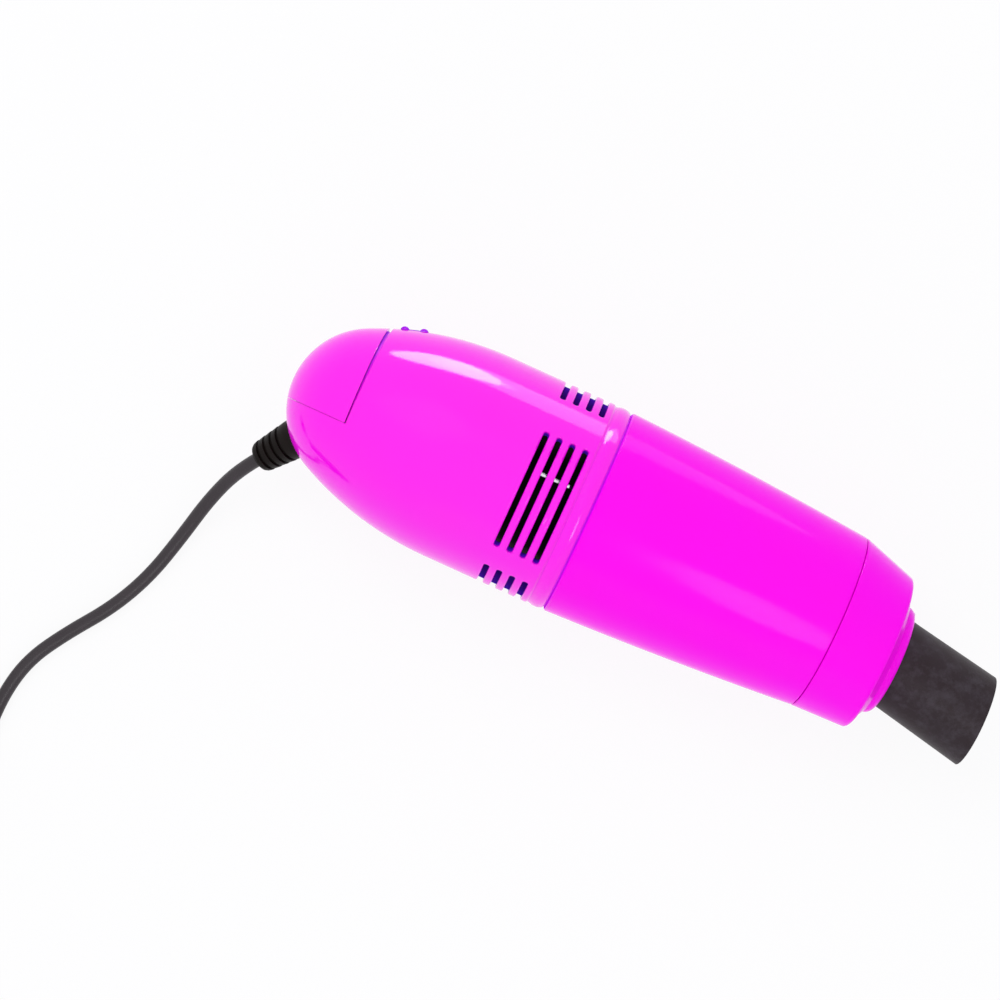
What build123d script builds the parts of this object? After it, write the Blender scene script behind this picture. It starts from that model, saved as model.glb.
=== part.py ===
from build123d import *

import os
from math import asin, atan2, cos, degrees, radians, sin, sqrt, tan

# A hand-size USB vacuum cleaner, lying on its round belly. Lengths are in millimetres.
# X runs along the body, from the domed tail to the nozzle, and +Z is up. Stations are
# distances along the body from the seam between the housing and the dust cup.

# Housing
belly_radius = 22.5
belly_rear = -27.0  # the straight belly starts here
dome_radius = 17.4
dome_station = -49.4  # centre of the round tail
housing_wall = 1.8
bead_length = 3.2
bead_drop = 0.45
groove_depth = 0.3
groove_width = 0.35
seam_gap = 0.35
joint_depth = 0.75  # depth of the gap's floor below the belly, at the dust cup
vent_width = 1.2
vent_round = 0.4  # radius of the slots' outer corners
vent_pitch = 2.87
vent_first = -14.3
vent_rows = 4
vent_span = 69.0  # degrees
vent_middles = (5.3, 90.0, 180.0, 270.0)  # each group's turn from +Z towards -Y, in degrees
web_thickness = 1.2
web_outset = 0.9  # depth of the web's edge below the housing's outside
web_reach = 0.7  # how far the web stands inside the spigot's bore
spigot_length = 6.0
spigot_wall = 1.5
boss_radius = 1.9
boss_length = 5.0
fit_clearance = 0.08  # between pieces that slide on each other
set_clearance = 0.05  # between pieces that are pressed together

# Tail cover
cover_station = -52.0
cover_side = -4.3  # Y of the cover's long edge
cover_gap_corner = 0.25
cover_gap_top = 0.9
cover_gap_side = 0.05
seam_depth = 0.75  # depth of the seam's floor at the cover's front edge
ledge_wall = 1.2
ledge_reach = 1.9
ledge_gap = 0.15
ledge_root = 1.2  # how far the ledge runs on under the housing's wall
cover_head_radius = 2.0
cover_head_depth = 0.9
cover_screw_length = 5.5
tab_half_width = 3.2
screw_station = -55.1
screw_roll = 13.5  # degrees from -Z towards +Y

# Dust cup and nose
cup_length = 55.0
cup_front_radius = 19.0
cup_swell = 0.35  # how far the flank bows out from a straight cone
cup_wall = 1.7
socket_length = 7.3
nose_length = 12.3
nose_front_radius = 16.9
nose_shift = 1.75  # the nose's front face lies off the axis, towards -Y
nose_wall = 1.7
nose_rim_round = 1.0
snap_length = 2.0
snap_wall = 1.5
snap_step = 0.5  # the neck stands this far inside the cap's wall
brow_length = 1.5  # the shallow cone between the nose's rim and the lip
brow_step = 0.3  # how far the cone's foot and its top stand clear of the rim's round and the lip
lip_shift = 2.3  # the lip and the hose lie off the axis, towards -Y
lip_width = 2.45
lip_length = 1.9

# Suction hose
hose_angle = 10.6  # degrees off the body's axis, towards -Y
hose_root_radius = 9.45
hose_flare = 0.3  # how much wider the hose is at its mouth
hose_bore_radius = 8.5
hose_inside = 12.0  # length behind the lip
mouth_station = 91.3
collar_wall = 1.5

# Motor, fan and filter
motor_radius = 12.2
screw_inset = 4.6  # from the can's outside in to the motor's screws
can_wall = 0.9
can_front = -9.0
can_length = 27.4
bell_thickness = 1.6
bearing_radius = 2.6
bearing_length = 2.4
shaft_radius = 1.0
shaft_front = 3.2
core_length = 14.0
magnet_thickness = 2.6
air_gap = 0.55
commutator_radius = 2.7
commutator_length = 3.0
winding_height = 1.6
terminal_inset = 3.2  # from the can's outside in to the terminals
terminal_length = 4.6
sleeve_wall = 1.1
flange_thickness = 2.0
boss_turn = 45.0  # degrees
clip_wire = 0.45  # radius of the wire clip on the sleeve
clip_turn = -11.7  # degrees from +Z
clip_rear = -12.6
clip_front = -5.1
impeller_tip = 16.4
impeller_back = -2.6
blade_height = 6.4
blade_count = 9
plate_thickness = 1.2
hub_radius = 3.2
shroud_thickness = 1.0
inlet_radius = 7.5
filter_collar_radius = 12.0
filter_collar_length = 3.0
filter_flange_radius = 18.4
filter_frame_length = 3.2
filter_depth = 16.0
cloth_thickness = 0.8
screw_radius = 0.8
pilot_radius = 0.85
hole_radius = 1.0

# Slide switch, on the +Y flank
switch_station = -47.0
switch_travel = 2.0
knob_half_length = 2.8
knob_half_width = 2.3
knob_pocket = 0.7  # depth of the pocket that the knob slides in
knob_rise = 0.1  # how far the knob's face stands proud of the housing
ridge_rise = 0.5
knob_gap = 0.35
stem_half_length = 1.0
stem_half_width = 0.8
switch_half_length = 3.2
switch_half_width = 2.7
switch_depth = 4.6
switch_seat = 3.0  # depth of the seat below the housing's outside
switch_ear = 4.3
ear_radius = 1.1
sheet = 0.5
pin_pitch = 2.0
pin_length = 3.5
base_thickness = 1.2
ridge_pitch = 4.0
ridge_round = 1.0  # radius of the ridges' rounded tops
ridge_count = 2

# USB cord. The points of its free stretch are chosen by hand, from the strain relief to the coil.
cord_radius = 1.5
cord_points = [
    (-79.35, -18.3, 12.3),
    (-82.7, -22.6, 9.9),
    (-86.2, -31.0, 5.4),
    (-88.6, -41.0, 2.3),
    (-91.4, -51.5, 1.55),
    (-95.9, -61.0, 1.55),
    (-102.6, -70.2, 1.55),
    (-107.6, -78.6, 1.55),
    (-109.5, -87.5, 1.55),
    (-109.3, -97.0, 1.6),
    (-108.9, -107.5, 2.2),
    (-108.85, -117.5, 2.5),
]
coil_outer_turn = 22.0  # radius of the outermost turn
coil_turns_wide = 4
coil_layers = 2
turn_pitch = 3.1
coil_base = 1.0
tie_width = 6.0
tie_thickness = 0.8
tail_points = [
    (-152.85, -117.5, 5.6),
    (-152.9, -110.3, 5.4),
    (-153.4, -103.0, 4.5),
    (-154.4, -95.8, 3.85),
    (-155.7, -88.8, 3.85),
]
plug_length = 20.0
plug_width = 15.6
plug_height = 7.6
relief_length = 8.0
shell_length = 12.0
shell_width = 12.0
shell_height = 4.5
shell_wall = 0.3
shell_root = 5.0  # how far the shell reaches into the plug's body
tongue_thickness = 1.9

# Cord boot
boot_root = (-61.4, -11.0, -6.1)  # station, then Y and Z from the axis, on the dome
boot_end_radius = 3.3
boot_pitch = 1.85
boot_groove = 0.7
boot_groove_depth = 0.55
boot_neck_radius = 4.2
boot_flange_radius = 5.6
boot_flange_thickness = 1.3
boot_grooves = 4
inner_length = 7.0
lead_radius = 0.5

# Worked out from the sizes above.
tail_station = dome_station - dome_radius
axis_height = belly_radius
seam_x = -(mouth_station + tail_station) / 2
spin = Axis((seam_x, 0, axis_height), (1, 0, 0))
sweep_radius = ((belly_rear - dome_station) ** 2 + belly_radius**2 - dome_radius**2) / (
    2 * (belly_radius - dome_radius)
)
sweep_centre = (belly_rear, belly_radius - sweep_radius)
blend_angle = degrees(atan2(-sweep_centre[1], dome_station - belly_rear))
blend_station = dome_station + dome_radius * cos(radians(blend_angle))
spigot_outer = belly_radius - housing_wall - 0.3
spigot_inner = spigot_outer - spigot_wall
housing_front = -seam_gap / 2
socket_radius = spigot_outer + fit_clearance
flange_radius = spigot_inner - 0.3
boss_ring = flange_radius - 1.4
sleeve_bore = motor_radius + set_clearance
sleeve_outer = sleeve_bore + sleeve_wall
motor_screw_ring = motor_radius - screw_inset
terminal_offset = motor_radius - terminal_inset
core_radius = motor_radius - can_wall - set_clearance - magnet_thickness - air_gap
winding_ring = core_radius - 3.9
can_rear = can_front - can_length
bell_rear = can_rear - bell_thickness
stem_slot = (2 * stem_half_length + switch_travel + 0.6, 2 * stem_half_width + 0.6)
flange_front = vent_first - 1.8
flange_rear = flange_front - flange_thickness
boot_exit = Vector(*cord_points[0])
top = Plane(origin=(seam_x, 0, axis_height))


def station(s, angle=0.0):
    # The plane square to the body's axis: its x is +Y and its y is +Z, both turned by the angle.
    turn = radians(angle)
    return Plane(origin=(seam_x + s, 0, axis_height), x_dir=(0, cos(turn), sin(turn)), z_dir=(1, 0, 0))


def side(angle=0.0):
    # A plane through the axis: its x is the station and its y the radius, turned from +Z towards -Y.
    turn = radians(angle)
    return Plane(
        origin=(seam_x, 0, axis_height),
        x_dir=(1, 0, 0),
        z_dir=(0, -cos(turn), -sin(turn)),
    )


def shell_radius(s):
    # The housing's outer radius at a station.
    if s > belly_rear:
        return belly_radius
    if s > blend_station:
        return sweep_centre[1] + sqrt(sweep_radius**2 - (s - belly_rear) ** 2)
    return sqrt(dome_radius**2 - (s - dome_station) ** 2)


def shell_lean(s):
    # How far the housing's outside leans back at a station of the tail, in radians.
    if s > blend_station:
        return asin((belly_rear - s) / sweep_radius)
    return asin((dome_station - s) / dome_radius)


def tail_outline(inset, front):
    # Half the housing's outline, set in from its outside and closed along the axis.
    dome = dome_radius - inset
    height = belly_radius - inset
    CenterArc((dome_station, 0), dome, blend_angle, 180 - blend_angle)
    CenterArc(sweep_centre, sweep_radius - inset, 90, blend_angle - 90)
    Polyline((belly_rear, height), (front, height), (front, 0), (dome_station - dome, 0))


def ring(rear, front, inner, outer, mode=Mode.ADD):
    # A plain ring about the body's axis, or a disc if its inner radius is 0.
    with BuildSketch(side()) as profile:
        with Locations(((rear + front) / 2, (inner + outer) / 2)):
            Rectangle(front - rear, outer - inner)
    revolve(profile.sketch, axis=spin, mode=mode)


def turned(points):
    # A solid turned about the body's axis from a closed outline of stations and radii.
    with BuildSketch(side()) as profile:
        with BuildLine():
            Polyline(*points, close=True)
        make_face()
    revolve(profile.sketch, axis=spin)


def tail_layer(outer_inset, inner_inset, front):
    # A shell of even thickness that follows the tail's outside.
    for inset, mode in ((outer_inset, Mode.ADD), (inner_inset, Mode.SUBTRACT)):
        with BuildSketch(side()) as profile:
            with BuildLine():
                tail_outline(inset, front)
            make_face()
        revolve(profile.sketch, axis=spin, mode=mode)


def keep_region(points):
    # Keeps what stands over an outline drawn in plan.
    with BuildSketch(top) as region:
        with BuildLine():
            Polyline(*points, close=True)
        make_face()
    extrude(region.sketch, amount=2 * belly_radius, both=True, mode=Mode.INTERSECT)


# Exhaust slots: each is a strip turned about the axis with a round end at both sides.
vent_stations = [vent_first + vent_pitch * row for row in range(vent_rows)]
vent_floor = belly_radius - housing_wall - 1.0
vent_depth = housing_wall + 2.0
end_angle = degrees(vent_width / 2 / belly_radius)


def vent_section(row, flanks):
    # A slot's section at a station: straight walls whose outer corners are rounded off.
    corner = belly_radius - vent_round
    for flank in flanks:
        with Locations((row + flank * vent_width / 4, vent_floor + vent_depth / 2)):
            Rectangle(vent_width / 2, vent_depth)
        with Locations((row + flank * (vent_width + vent_round) / 2, corner + (1 + vent_round) / 2)):
            Rectangle(vent_round, 1 + vent_round)
        with Locations((row + flank * (vent_width / 2 + vent_round), corner)):
            Circle(vent_round, mode=Mode.SUBTRACT)


with BuildPart() as vents:
    for middle in vent_middles:
        for row in vent_stations:
            start = middle - vent_span / 2 + end_angle
            stop = middle + vent_span / 2 - end_angle
            with BuildSketch(side(start)):
                vent_section(row, (-1, 1))
            revolve(axis=spin, revolution_arc=stop - start)
            for end, flank in ((start, 1), (stop, -1)):
                outward = (0, -sin(radians(end)), cos(radians(end)))
                with BuildSketch(side(end)):
                    vent_section(row, (flank,))
                revolve(axis=Axis((seam_x + row, 0, axis_height), outward), revolution_arc=180)

# The ledge that backs the tail cover's two edges, and its root in the housing's wall.
ledge_outer = housing_wall + ledge_gap
ledge_inner = ledge_outer + ledge_wall
side_line = cover_side - ledge_root - 0.1
far = 2 * belly_radius
with BuildPart() as cover_ledge:
    tail_layer(ledge_outer, ledge_inner, belly_rear + 1)
    keep_region(
        [
            (tail_station - 1, side_line),
            (cover_station + ledge_root, side_line),
            (cover_station + ledge_root, far),
            (cover_station - ledge_reach, far),
            (cover_station - ledge_reach, cover_side + ledge_reach),
            (tail_station - 1, cover_side + ledge_reach),
        ]
    )
with BuildPart() as ledge_foot:
    tail_layer(housing_wall - 0.4, ledge_inner, belly_rear + 1)
    keep_region(
        [
            (tail_station - 1, side_line),
            (cover_station + ledge_root, side_line),
            (cover_station + ledge_root, far),
            (cover_station + 0.2, far),
            (cover_station + 0.2, cover_side - 0.2),
            (tail_station - 1, cover_side - 0.2),
        ]
    )

# The floor of the seam in front of the tail cover.
cover_edge = cover_station - cover_gap_top + set_clearance
with BuildPart() as seam_floor:
    tail_layer(seam_depth, ledge_outer + 0.3, belly_rear + 1)
    keep_region(
        [
            (cover_station - cover_gap_corner + set_clearance, cover_side),
            (cover_station + 0.3, cover_side),
            (cover_station + 0.3, far),
            (cover_edge, far),
            (cover_edge, shell_radius(cover_station)),
        ]
    )

# The screw of the tail cover stands square to the tail, on its underside.
screw_lean = shell_lean(screw_station)
screw_side = Vector(0, sin(radians(screw_roll)), -cos(radians(screw_roll)))
screw_aim = Vector(-sin(screw_lean), 0, 0) + screw_side * cos(screw_lean)
screw_foot = Vector(seam_x + screw_station, 0, axis_height) + screw_side * shell_radius(screw_station)
screw_plane = Plane(origin=screw_foot, x_dir=(0, 1, 0), z_dir=screw_aim)
tab_rear = screw_station - tab_half_width
tab_middle = screw_foot.Y
with BuildPart() as screw_tab:
    tail_layer(ledge_outer, ledge_inner + 0.6, belly_rear + 1)
    keep_region(
        [
            (tab_rear, tab_middle - tab_half_width),
            (cover_station + ledge_root, tab_middle - tab_half_width),
            (cover_station + ledge_root, tab_middle + tab_half_width),
            (tab_rear, tab_middle + tab_half_width),
        ]
    )
    with BuildSketch(Plane(origin=(seam_x - belly_radius, 0, axis_height - belly_radius))):
        Rectangle(6 * belly_radius, 6 * belly_radius)
    extrude(amount=belly_radius, mode=Mode.INTERSECT)
    with BuildSketch(screw_plane.offset(-ledge_inner - 3.4)):
        Circle(2.1)
    extrude(amount=4.0)

# The strain relief leaves the dome square to it, or nearly so.
boot_foot = Vector(seam_x + boot_root[0], boot_root[1], axis_height + boot_root[2])
boot_aim = (boot_exit - boot_foot).normalized()
boot_length = (boot_exit - boot_foot).length
boot_plane = Plane(origin=boot_foot, x_dir=Vector(0, 0, 1).cross(boot_aim), z_dir=boot_aim)

boot_tilt = tan(radians(10.5))  # the most that the strain relief leans from the dome's normal
inner_dome = dome_radius - housing_wall
flange_sink = boot_flange_radius**2 / 2 / inner_dome + boot_flange_radius * boot_tilt
flange_top = -(housing_wall * 1.02 + flange_sink + 0.1)

# The switch sits square to the flank, which slopes where it is.
switch_lean = shell_lean(switch_station)
switch_out = Vector(-sin(switch_lean), cos(switch_lean), 0)
switch_along = Vector(switch_out.Y, -switch_out.X, 0)
switch_foot = Vector(seam_x + switch_station, shell_radius(switch_station), axis_height)
switch_plane = Plane(origin=switch_foot, x_dir=switch_along, z_dir=switch_out)
pocket_size = (2 * knob_half_length + switch_travel + 2 * knob_gap, 2 * (knob_half_width + knob_gap))
frame_size = (2 * (switch_ear + ear_radius + 0.1), 2 * switch_half_width)
with BuildPart() as pocket:
    tail_layer(-1, knob_pocket, belly_rear + 1)
    with BuildSketch(switch_plane):
        RectangleRounded(*pocket_size, 1.2)
    extrude(amount=4, both=True, mode=Mode.INTERSECT)

# Motor housing: the rear shell, with its spigot, vents, motor seat and switch seat.
with BuildPart() as motor_housing:
    tail_layer(0, housing_wall, housing_front)
    ring(-bead_length - 0.3, housing_front, spigot_inner, belly_radius - 0.1)
    ring(-bead_length, spigot_length, spigot_inner, spigot_outer)
    ring(-bead_length / 2, seam_gap / 2 - set_clearance, spigot_inner, belly_radius - joint_depth)
    with BuildSketch(side()):
        with BuildLine():
            Polyline(
                (-bead_length, belly_radius - groove_depth),
                (-bead_length - groove_width, belly_radius - groove_depth),
                (-bead_length - 2 * groove_width, belly_radius),
                (-bead_length - 2 * groove_width, belly_radius + 1),
                (1, belly_radius + 1),
                (1, belly_radius - bead_drop),
                (housing_front, belly_radius - bead_drop),
            )
            ThreePointArc(
                (housing_front, belly_radius - bead_drop),
                (-bead_length / 2, belly_radius),
                (-bead_length, belly_radius - groove_depth),
            )
        make_face()
    revolve(axis=spin, mode=Mode.SUBTRACT)
    add(vents.part, mode=Mode.SUBTRACT)
    # web at each flank that ties the bars between the slots
    web_rear = flange_front + 0.5
    web_inner = spigot_inner - web_reach
    web_outer = belly_radius - web_outset
    with BuildSketch(top):
        with Locations(
            ((web_rear - bead_length) / 2, (web_inner + web_outer) / 2),
            ((web_rear - bead_length) / 2, -(web_inner + web_outer) / 2),
        ):
            Rectangle(-bead_length - web_rear, web_outer - web_inner)
    extrude(amount=web_thickness / 2, both=True)
    # groove for the seal ring
    ring(2.4, 3.8, spigot_outer - 0.75, spigot_outer + 1, mode=Mode.SUBTRACT)
    # opening for the tail cover
    with BuildSketch(top):
        with BuildLine():
            Polyline(
                (tail_station - 5, cover_side),
                (cover_station, cover_side),
                (cover_station, far),
                (tail_station - 5, far),
                close=True,
            )
        make_face()
    extrude(amount=far, both=True, mode=Mode.SUBTRACT)
    add(ledge_foot.part)
    add(cover_ledge.part)
    add(seam_floor.part)
    add(screw_tab.part)
    with BuildSketch(screw_plane.offset(1)):
        Circle(pilot_radius)
    extrude(amount=-8.0, mode=Mode.SUBTRACT)
    # shelf and four pillars that carry the motor mount
    ring(flange_rear - 2.4, flange_rear - set_clearance, flange_radius - 3.0, belly_radius - 1)
    with BuildSketch(station(flange_rear - boss_length - 2)):
        with PolarLocations(boss_ring, 4, start_angle=boss_turn):
            Circle(boss_radius)
            with Locations((boss_radius, 0)):
                Rectangle(2 * boss_radius, 2.4)
    extrude(amount=boss_length)
    with BuildSketch(station(flange_rear - boss_length - 1)):
        with PolarLocations(boss_ring, 4, start_angle=boss_turn):
            Circle(pilot_radius)
    extrude(amount=boss_length + 2, mode=Mode.SUBTRACT)
    # room for the switch's frame beside the ledge
    with BuildSketch(switch_plane.offset(-switch_seat)):
        Rectangle(frame_size[0] + 0.6, frame_size[1] + 0.6)
    extrude(amount=-2 * sheet, mode=Mode.SUBTRACT)
    # pocket for the knob, seats for the switch, and the slot for its stem
    add(pocket.part, mode=Mode.SUBTRACT)
    with BuildSketch(switch_plane.offset(-switch_seat)):
        with Locations((-switch_ear, 0), (switch_ear, 0)):
            Circle(ear_radius)
    extrude(amount=switch_seat - housing_wall + 0.5)
    with BuildSketch(switch_plane.offset(-switch_seat)):
        with Locations((-switch_ear, 0), (switch_ear, 0)):
            Circle(0.55)
    extrude(amount=2.2, mode=Mode.SUBTRACT)
    with BuildSketch(switch_plane.offset(-switch_seat)):
        RectangleRounded(*stem_slot, 0.3)
    extrude(amount=switch_seat + 2, mode=Mode.SUBTRACT)
    # hole for the strain relief
    with BuildSketch(boot_plane.offset(flange_top)):
        Circle(boot_neck_radius + set_clearance)
    extrude(amount=3 - flange_top, mode=Mode.SUBTRACT)
    # room for the strain relief's flange beside the ledge
    with BuildSketch(boot_plane.offset(flange_top + set_clearance)):
        Circle(boot_flange_radius + 0.2)
    extrude(amount=-boot_flange_radius, mode=Mode.SUBTRACT)

# Tail cover: the part of the dome behind the L-shaped seam.
with BuildPart() as tail_cover:
    tail_layer(0, housing_wall, belly_rear + 1)
    keep_region(
        [
            (tail_station - 5, cover_side + cover_gap_side),
            (cover_station - cover_gap_corner, cover_side + cover_gap_side),
            (cover_station - cover_gap_top, shell_radius(cover_station)),
            (cover_station - cover_gap_top, far),
            (tail_station - 5, far),
        ]
    )
    with BuildSketch(screw_plane.offset(-3)):
        Circle(hole_radius)
    extrude(amount=5, mode=Mode.SUBTRACT)
    with BuildSketch(screw_plane.offset(-cover_head_depth)):
        Circle(cover_head_radius + 0.15)
    extrude(amount=3, mode=Mode.SUBTRACT)

with BuildPart() as tail_cover_screw:
    with BuildSketch(screw_plane.offset(-cover_head_depth)):
        Circle(cover_head_radius)
    extrude(amount=0.8)
    with BuildSketch(screw_plane.offset(-cover_head_depth)):
        Circle(screw_radius)
    extrude(amount=-cover_screw_length)
    with BuildSketch(screw_plane.offset(-cover_head_depth + 0.3)):
        Rectangle(2.4, 0.5)
        Rectangle(0.5, 2.4)
    extrude(amount=1, mode=Mode.SUBTRACT)

# Motor mount: a sleeve round the motor with a front plate, and a flange that closes the duct.
plate_front = can_front + 1.6
sleeve_front = impeller_back - 1.6
with BuildPart() as motor_mount:
    turned(
        [
            (flange_rear, sleeve_bore),
            (flange_rear, flange_radius),
            (flange_front, flange_radius),
            (flange_front, sleeve_outer),
            (sleeve_front, sleeve_outer),
            (sleeve_front, sleeve_outer - 1.0),
            (plate_front, sleeve_outer - 1.0),
            (plate_front, bearing_radius + 1.2),
            (can_front + set_clearance, bearing_radius + 1.2),
            (can_front + set_clearance, sleeve_bore),
        ]
    )
    with BuildSketch(station(flange_rear - 1)):
        with PolarLocations(boss_ring, 4, start_angle=boss_turn):
            Circle(hole_radius)
    extrude(amount=flange_thickness + 2, mode=Mode.SUBTRACT)
    with BuildSketch(station(can_front - 1)):
        with Locations((-motor_screw_ring, 0), (motor_screw_ring, 0)):
            Circle(hole_radius)
    extrude(amount=4, mode=Mode.SUBTRACT)
    # notches that let the flange past the housing's webs
    with BuildSketch(station(flange_rear - 1)):
        with Locations((-spigot_inner, 0), (spigot_inner, 0)):
            Rectangle(2 * web_reach + 0.6, web_thickness + 0.6)
    extrude(amount=flange_thickness + 2, mode=Mode.SUBTRACT)
    # holes for the ends of the wire clip
    clip_out = Vector(0, -sin(radians(clip_turn)), cos(radians(clip_turn)))
    for end in (clip_rear, clip_front):
        foot = Vector(seam_x + end, 0, axis_height) + clip_out * (sleeve_bore - 1)
        with BuildSketch(Plane(origin=foot, x_dir=(1, 0, 0), z_dir=clip_out)):
            Circle(clip_wire + set_clearance)
        extrude(amount=sleeve_wall + 2, mode=Mode.SUBTRACT)

# Steel wire clip that lies along the sleeve, with both its ends in holes.
clip_height = sleeve_outer + set_clearance + clip_wire
clip_points = [
    (clip_rear, sleeve_bore + 0.1),
    (clip_rear, clip_height),
    (clip_front, clip_height),
    (clip_front, sleeve_bore + 0.1),
]
with BuildPart() as mount_clip:
    with BuildLine(side(clip_turn)) as clip_path:
        FilletPolyline(*clip_points, radius=1.3 * clip_wire)
    with BuildSketch(Plane(origin=clip_path.line @ 0, z_dir=clip_path.line % 0)):
        Circle(clip_wire)
    sweep(path=clip_path.line)

with BuildPart() as mount_screws:
    with BuildSketch(station(flange_front + set_clearance)):
        with PolarLocations(boss_ring, 4, start_angle=boss_turn):
            Circle(1.25)
    extrude(amount=1.1)
    with BuildSketch(station(flange_front + set_clearance)):
        with PolarLocations(boss_ring, 4, start_angle=boss_turn):
            Circle(screw_radius)
    extrude(amount=-6.5)

# Motor: can, magnets, bearings, end bell, brushes and terminals.
with BuildPart() as motor_can:
    turned(
        [
            (can_rear, motor_radius - can_wall),
            (can_rear, motor_radius),
            (can_front, motor_radius),
            (can_front, bearing_radius + 0.9),
            (can_front + 1.3, bearing_radius + 0.9),
            (can_front + 1.3, bearing_radius + set_clearance),
            (can_front - can_wall, bearing_radius + set_clearance),
            (can_front - can_wall, motor_radius - can_wall),
        ]
    )
    with BuildSketch(station(can_front - 2)):
        with Locations((-motor_screw_ring, 0), (motor_screw_ring, 0)):
            Circle(screw_radius + set_clearance)
    extrude(amount=4, mode=Mode.SUBTRACT)

with BuildPart() as motor_screws:
    with BuildSketch(station(plate_front + set_clearance)):
        with Locations((-motor_screw_ring, 0), (motor_screw_ring, 0)):
            Circle(1.7)
    extrude(amount=1.2)
    with BuildSketch(station(plate_front + set_clearance)):
        with Locations((-motor_screw_ring, 0), (motor_screw_ring, 0)):
            Circle(screw_radius)
    extrude(amount=-3.2)

core_front = can_front - can_wall - 5.0
core_rear = core_front - core_length
core_bore = shaft_radius + set_clearance
magnet_outer = motor_radius - can_wall - set_clearance
with BuildPart() as motor_magnets:
    for start in (20.0, 200.0):
        with BuildSketch(side(start)):
            with Locations(((core_front + core_rear) / 2, magnet_outer - magnet_thickness / 2)):
                Rectangle(core_length + 4.0, magnet_thickness)
        revolve(axis=spin, revolution_arc=140)

bearing_bore = shaft_radius + 0.03
bearing_front = can_front + bearing_length - can_wall - 0.3
with BuildPart() as front_bearing:
    ring(can_front - can_wall, bearing_front, bearing_bore, bearing_radius)

bell_boss_rear = bell_rear - 1.4
with BuildPart() as motor_end_bell:
    turned(
        [
            (bell_boss_rear, bearing_radius + set_clearance),
            (bell_boss_rear, bearing_radius + 1.3),
            (bell_rear, bearing_radius + 1.3),
            (bell_rear, motor_radius - 0.2),
            (can_rear - set_clearance, motor_radius - 0.2),
            (can_rear - set_clearance, motor_radius - can_wall - set_clearance),
            (can_rear + 1.2, motor_radius - can_wall - set_clearance),
            (can_rear + 1.2, motor_radius - can_wall - 1.2),
            (can_rear - set_clearance, motor_radius - can_wall - 1.2),
            (can_rear - set_clearance, bearing_radius + set_clearance),
        ]
    )
    with BuildSketch(station(bell_rear - 1)):
        with Locations((0, terminal_offset), (0, -terminal_offset)):
            Rectangle(2.8, 0.7)
    extrude(amount=bell_thickness + 2, mode=Mode.SUBTRACT)

bearing_rear = bell_boss_rear + 0.2
with BuildPart() as rear_bearing:
    ring(bearing_rear, bearing_rear + bearing_length, bearing_bore, bearing_radius)

terminal_rear = bell_rear - terminal_length
terminal_front = can_rear + 1.5
with BuildPart() as motor_terminals:
    with BuildSketch(station(terminal_rear)):
        with Locations((0, terminal_offset), (0, -terminal_offset)):
            Rectangle(2.6, 0.5)
    extrude(amount=terminal_front - terminal_rear)

# Each brush is a spring arm that starts beside its terminal and carries a carbon at its end.
commutator_front = core_rear - 2.2
commutator_rear = commutator_front - commutator_length
brush_inner = commutator_radius + 0.1
with BuildPart() as motor_brushes:
    for height in (1, -1):
        with BuildSketch(station(commutator_rear + 0.5)):
            with Locations((0, height * (brush_inner + 1.3))):
                Rectangle(2.2, 2.6)
        extrude(amount=commutator_length - 1.0)
        with BuildSketch(station(can_rear - set_clearance + 0.1)):
            with Locations((0, height * (brush_inner + 2.35))):
                Rectangle(2.2, 0.5)
        extrude(amount=commutator_front - 0.5 - can_rear + set_clearance - 0.1)

# Turning parts: shaft, laminated core, windings and commutator.
with BuildPart() as rotor_shaft:
    ring(bell_boss_rear - 0.6, shaft_front, 0, shaft_radius)

with BuildPart() as armature_core:
    with BuildSketch(station(core_rear)):
        Circle(core_radius)
        with PolarLocations(core_radius - 2.6, 3, start_angle=30):
            Circle(2.0, mode=Mode.SUBTRACT)
        with PolarLocations(core_radius - 1.0, 3, start_angle=30):
            Rectangle(3.2, 1.4, mode=Mode.SUBTRACT)
        Circle(core_bore, mode=Mode.SUBTRACT)
    extrude(amount=core_length)

with BuildPart() as armature_windings:
    for end in (core_front + set_clearance, core_rear - set_clearance - winding_height):
        with BuildSketch(station(end)):
            with PolarLocations(winding_ring, 3, start_angle=90):
                Ellipse(2.4, winding_ring + 0.1)
            Circle(core_bore, mode=Mode.SUBTRACT)
        extrude(amount=winding_height)
    with BuildSketch(station(core_rear - set_clearance - winding_height)):
        with PolarLocations(core_radius - 2.6, 3, start_angle=30):
            Circle(1.9)
    extrude(amount=core_length + 2 * (winding_height + set_clearance))

with BuildPart() as commutator:
    ring(commutator_rear, commutator_front, core_bore, commutator_radius)
    with BuildSketch(station(commutator_rear - 1)):
        with PolarLocations(commutator_radius, 3, start_angle=30):
            Rectangle(0.8, 0.4)
    extrude(amount=commutator_length + 2, mode=Mode.SUBTRACT)

# Impeller: a back plate, a hub on the shaft and curved blades.
with BuildPart() as impeller:
    ring(impeller_back, impeller_back + plate_thickness, core_bore, impeller_tip)
    ring(impeller_back - 0.8, shaft_front - 0.8, core_bore, hub_radius)
    for blade in range(blade_count):
        with BuildSketch(station(impeller_back + 1.0, blade * 360 / blade_count)):
            with BuildLine():
                ThreePointArc((4.5, 0.0), (10.6, 1.6), (impeller_tip - 1.0, 5.2))
                Line((impeller_tip - 1.0, 5.2), (impeller_tip - 1.4, 6.1))
                ThreePointArc((impeller_tip - 1.4, 6.1), (10.2, 2.7), (4.5, 1.0))
                Line((4.5, 1.0), (4.5, 0.0))
            make_face()
        extrude(amount=blade_height)

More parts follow.
